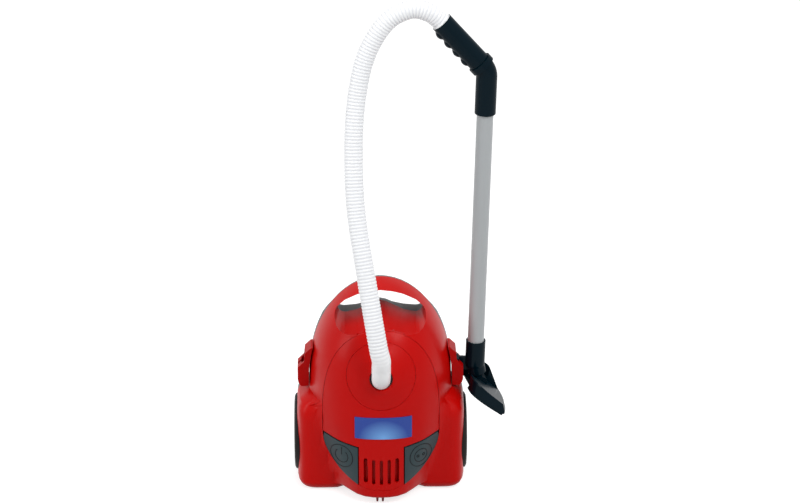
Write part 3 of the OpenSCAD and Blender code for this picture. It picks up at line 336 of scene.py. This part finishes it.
def addStage():  # flat pale floor, white surroundings and three soft lamps
    floor = bpy.data.materials.new("paleFloor")
    floor.use_nodes = True
    tree = floor.node_tree
    matte = tree.nodes["Principled BSDF"]
    matte.inputs["Base Color"].default_value = studio["floorColour"]
    matte.inputs["Roughness"].default_value = studio["floorRoughness"]
    matte.inputs["Specular IOR Level"].default_value = 0
    matte.inputs["Emission Color"].default_value = (1, 1, 1, 1)
    glow = seenOnly(tree, studio["floorSeen"], 0)  # white where seen, and the shadow stays
    tree.links.new(glow, matte.inputs["Emission Strength"])
    x, y = np.meshgrid(studio["floorX"], studio["floorY"])
    corners = np.stack([x, y, np.zeros_like(x)], -1)
    newObject("floor", gridMesh("floor", corners), floor)

    world = bpy.data.worlds.new("studio")
    bpy.context.scene.world = world
    world.use_nodes = True
    tree = world.node_tree
    sky = tree.nodes["Background"]
    sky.inputs["Color"].default_value = (1, 1, 1, 1)
    tree.links.new(seenOnly(tree, studio["skySeen"], studio["sky"]), sky.inputs["Strength"])

    for name, settings in studio["lamps"].items():
        addLamp(name, *settings)


addCamera()
addStage()
bpy.context.scene.view_settings.view_transform = "Standard"
print("camera and stage ready")

# ribbed hose

hoseShape = {  # metres, and the route in millimetres
    "radius": 0.0113, "ribDepth": 0.0006, "ribPitch": 0.004, "ribSharp": 0.6, "smoothStart": 0.026,
    "sides": 40, "perRib": 8, "perKnot": 24,
    "start": (0, -0.104168, 0.200296), "ahead": (0, -0.004104, 0.011276),
    "route": [(-3, -109, 226), (-8, -103, 255), (-14, -92, 290), (-20, -80, 326), (-26, -66, 362),
              (-30, -52, 400), (-31, -38, 440), (-30, -26, 478), (-26, -15, 514), (-18, -7, 550),
              (-4, -2, 580), (14, 1, 601), (38, 3, 611), (58, 4, 606)],
    "gripMouth": (0.072146, 0.005, 0.594331), "gripInside": (0.086723, 0.005, 0.577854),
    "gripDeep": (0.101301, 0.005, 0.561377),
}


def hosePath(step):  # Catmull-Rom curve through the route, sampled at even steps
    shape = hoseShape
    start, ahead = np.array(shape["start"]), np.array(shape["ahead"])
    knots = np.array([start - ahead, start, start + ahead, *(np.array(p) / 1000 for p in shape["route"]),
                      shape["gripMouth"], shape["gripInside"], shape["gripDeep"]])
    t = np.linspace(0, 1, shape["perKnot"], endpoint=False)[:, None]
    a, b, c, d = knots[:-3, None], knots[1:-2, None], knots[2:-1, None], knots[3:, None]
    curve = 0.5 * (2 * b + (c - a) * t + (2 * a - 5 * b + 4 * c - d) * t**2
                   + (3 * b - a - 3 * c + d) * t**3)
    curve = np.vstack([curve.reshape(-1, 3), knots[-2]])
    along = np.concatenate([[0], np.cumsum(np.linalg.norm(np.diff(curve, axis=0), axis=1))])
    even = np.linspace(0, along[-1], max(2, round(along[-1] / step)) + 1)
    return np.stack([np.interp(even, along, curve[:, k]) for k in range(3)], -1), along[-1]


def addHose():  # a tube along the path, thinner by the rib depth in each groove
    shape = hoseShape
    path, length = hosePath(shape["ribPitch"] / shape["perRib"])
    along = np.linspace(0, length, len(path))
    wave = 0.5 + 0.5 * np.cos(2 * math.pi * along / shape["ribPitch"])
    grown = np.clip(along / shape["smoothStart"], 0, 1) ** 2  # ribs grow out of the smooth cuff
    groove = (1 - wave ** shape["ribSharp"]) * grown
    radius = shape["radius"] - shape["ribDepth"] * groove
    mesh = gridMesh("hoseSkin", tubeAlong(path, radius, shape["sides"]), closeV=True)
    # the groove mask also paints shade into the grooves, through the hose finish's grey tint
    mask = mesh.attributes.new("groove", "FLOAT", "POINT")
    mask.data.foreach_set("value", np.repeat(groove, shape["sides"]).astype(np.float32))
    hose = newObject("hoseSkin", mesh, finishes["hosePlastic"])
    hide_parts("hose")
    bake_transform(hose)
    print("hose:", round(length, 4), "m")


addHose()

# moulded pieces

skins = {  # finish, and the angle in degrees past which an edge stays sharp
    "front_shell": ("redPlastic", 32), "back_shell": ("greyPlastic", 32), "front_panel": ("redPlastic", 32),
    "port_dome": ("redPlastic", 40), "power_button": ("buttonPlastic", 35),
    "rewind_button": ("buttonPlastic", 35), "label_plate": ("labelFilm", 35),
    "parked_plug": ("plugRedPaintedShade", 35), "left_clip": ("clipPlastic", 25), "right_clip": ("clipPlastic", 25),
    "left_tyre": ("tyreRubber", 30), "right_tyre": ("tyreRubber", 30),
    "left_hub": ("hubPlastic", 30), "right_hub": ("hubPlastic", 30), "left_cap": ("hubPlastic", 30),
    "right_cap": ("hubPlastic", 30), "hose_cuff": ("hosePlastic", 35), "hose_end": ("hosePlastic", 35),
    "wand_tube": ("tubePlastic", 35), "elbow": ("darkPlastic", 35), "grip": ("darkPlastic", 35),
    "wand_neck": ("darkPlastic", 35), "pivot_ball": ("darkPlastic", 35), "nozzle_head": ("darkPlastic", 30),
    "nozzle_sole": ("darkPlastic", 30), "castor_fork": ("greyPlastic", 30), "castor_wheel": ("tyreRubber", 30),
    "battery_door": ("greyPlastic", 30),
}
insides = {  # nodes that keep their own mesh
    "button_bridge": "greyPlastic", "power_switch": "darkPlastic", "axle": "steel",
    "castor_socket": "greyPlastic", "castor_pin": "steel", "battery_box": "greyPlastic",
    "battery_cells": "cellWrap", "battery_contacts": "steel", "door_screw": "steel", "case_screws": "steel",
    "motor_cradle": "greyPlastic", "motor": "steel", "motor_shaft": "steel", "fan_impeller": "hosePlastic",
    "fan_housing": "greyPlastic", "dust_chamber": "smokePlastic", "dust_filter": "filterFelt",
}
springs = {
    "joints": {"power_spring": "power_press", "rewind_spring": "rewind_press"}, "travel": 0.0031, "crease": 60,
}
weld = {"merge": 1e-5, "slim": 1e-6}  # metres
rimFall = {  # metres
    "node": "back_shell", "drop": 0.0065, "fromY": 0.02, "depth": 0.0175, "power": 1.5, "lowZ": 0.2125,
    "fadeZ": 0.012,
}


def dropCrown(mesh):  # the crown falls away behind: points go down by how far back and how high they lie
    r = rimFall
    points = np.empty(len(mesh.vertices) * 3, np.float32)
    mesh.vertices.foreach_get("co", points)
    _, y, z = points.reshape(-1, 3).T
    back = np.clip((y - r["fromY"]) / r["depth"], 0, 1) ** r["power"]
    high = np.clip((z - r["lowZ"]) / r["fadeZ"], 0, 1)
    points.reshape(-1, 3)[:, 2] -= r["drop"] * back * high
    mesh.vertices.foreach_set("co", points)
    mesh.update()


def dressNode(name, finish, crease):  # a welded, smooth-shaded copy of the node, creased past an angle
    mesh = nodes[name].data.copy()
    mesh.name = name + "Skin"
    if "custom_normal" in mesh.attributes:
        mesh.attributes.remove(mesh.attributes["custom_normal"])
    work = bmesh.new()
    work.from_mesh(mesh)
    bmesh.ops.remove_doubles(work, verts=work.verts, dist=weld["merge"])
    bmesh.ops.dissolve_degenerate(work, edges=work.edges, dist=weld["slim"])
    work.to_mesh(mesh)
    work.free()
    if name == rimFall["node"]:
        dropCrown(mesh)
    mesh.shade_smooth()
    mesh.set_sharp_from_angle(angle=math.radians(crease))
    piece = newObject(name + "Skin", mesh, finishes[finish])
    even = piece.modifiers.new("evenNormals", "WEIGHTED_NORMAL")
    even.keep_sharp = True
    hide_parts(name)
    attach(piece, bodyOf[name])
    return piece


def addSpring(name):  # a welded, smooth-shaded steel copy of the spring, with a mesh of its own
    piece = dressNode(name, "steel", springs["crease"])
    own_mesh(piece)


for name, (finish, crease) in skins.items():
    dressNode(name, finish, crease)
for name, joint in springs["joints"].items():
    addSpring(name)
for name, finish in insides.items():
    nodes[name].data.materials.clear()
    nodes[name].data.materials.append(finishes[finish])

# sheet behind the vents

ventSheet = {  # millimetres
    "halfWidth": 26, "lowZ": 20, "highZ": 62, "inside": 7, "thick": 1.5, "rows": 12, "columns": 14,
}


def addVentSheet():  # the front face moved inwards, so that the vents look into red and not into the hull
    v = ventSheet
    x, z = np.meshgrid(np.linspace(-v["halfWidth"], v["halfWidth"], v["columns"]),
                       np.linspace(v["lowZ"], v["highZ"], v["rows"]))
    points = np.stack([x, frontY(x, z) + v["inside"], z], -1) / 1000
    piece = newObject("ventSheet", gridMesh("ventSheet", points), finishes["redPlastic"])
    wall = piece.modifiers.new("wall", "SOLIDIFY")
    wall.thickness = v["thick"] / 1000
    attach(piece, "canister")
    print("vent sheet placed")


addVentSheet()

# marks on the buttons, dark beads in painted shade

buttonMarks = {  # millimetres, and the gap in degrees
    "centre": (48, 62.5), "proud": 0.8, "bead": 0.75, "sink": 0.35, "tall": 1.2, "outerRing": 13.2,
    "innerRing": 7.6, "powerGap": 40, "powerBar": (2.0, 11.0), "socketHole": 1.3, "socketSpread": 3.4,
    "ringSteps": 72, "arcSteps": 60, "barSteps": 12, "beadSides": 10,
}


def markBead(name, side, x, z, closed):  # a round bead along a plane line, laid on the button's face, coloured in painted shade
    m = buttonMarks
    x, z = side * (m["centre"][0] + x), m["centre"][1] + m["tall"] * z
    path = np.stack([x, frontY(x, z) - m["proud"] + m["sink"], z], -1) / 1000
    points = tubeAlong(path, m["bead"] / 1000, m["beadSides"], closed)
    piece = newObject(name, gridMesh(name, points, closeU=closed, closeV=True), finishes["markPaintedShade"])
    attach(piece, "power_button" if side < 0 else "rewind_button")


def addMarks():  # rings on both buttons, then an open ring with a bar, and a ring with two holes
    m = buttonMarks
    turn = np.linspace(0, 2 * math.pi, m["ringSteps"], endpoint=False)
    for side, label in ((-1, "power"), (1, "rewind")):
        markBead(label + "OuterRing", side, m["outerRing"] * np.cos(turn), m["outerRing"] * np.sin(turn), True)
    gap = math.radians(m["powerGap"])
    arc = np.linspace(math.pi / 2 + gap, 5 * math.pi / 2 - gap, m["arcSteps"])
    markBead("powerArc", -1, m["innerRing"] * np.cos(arc), m["innerRing"] * np.sin(arc), False)
    bar = np.linspace(*m["powerBar"], m["barSteps"])
    markBead("powerBar", -1, 0 * bar, bar, False)
    markBead("socketRing", 1, m["innerRing"] * np.cos(turn), m["innerRing"] * np.sin(turn), True)
    for way, label in ((-1, "Left"), (1, "Right")):
        x = way * m["socketSpread"] + m["socketHole"] * np.cos(turn)
        markBead("socketHole" + label, 1, x, m["socketHole"] * np.sin(turn), True)
    print("button marks placed")


addMarks()
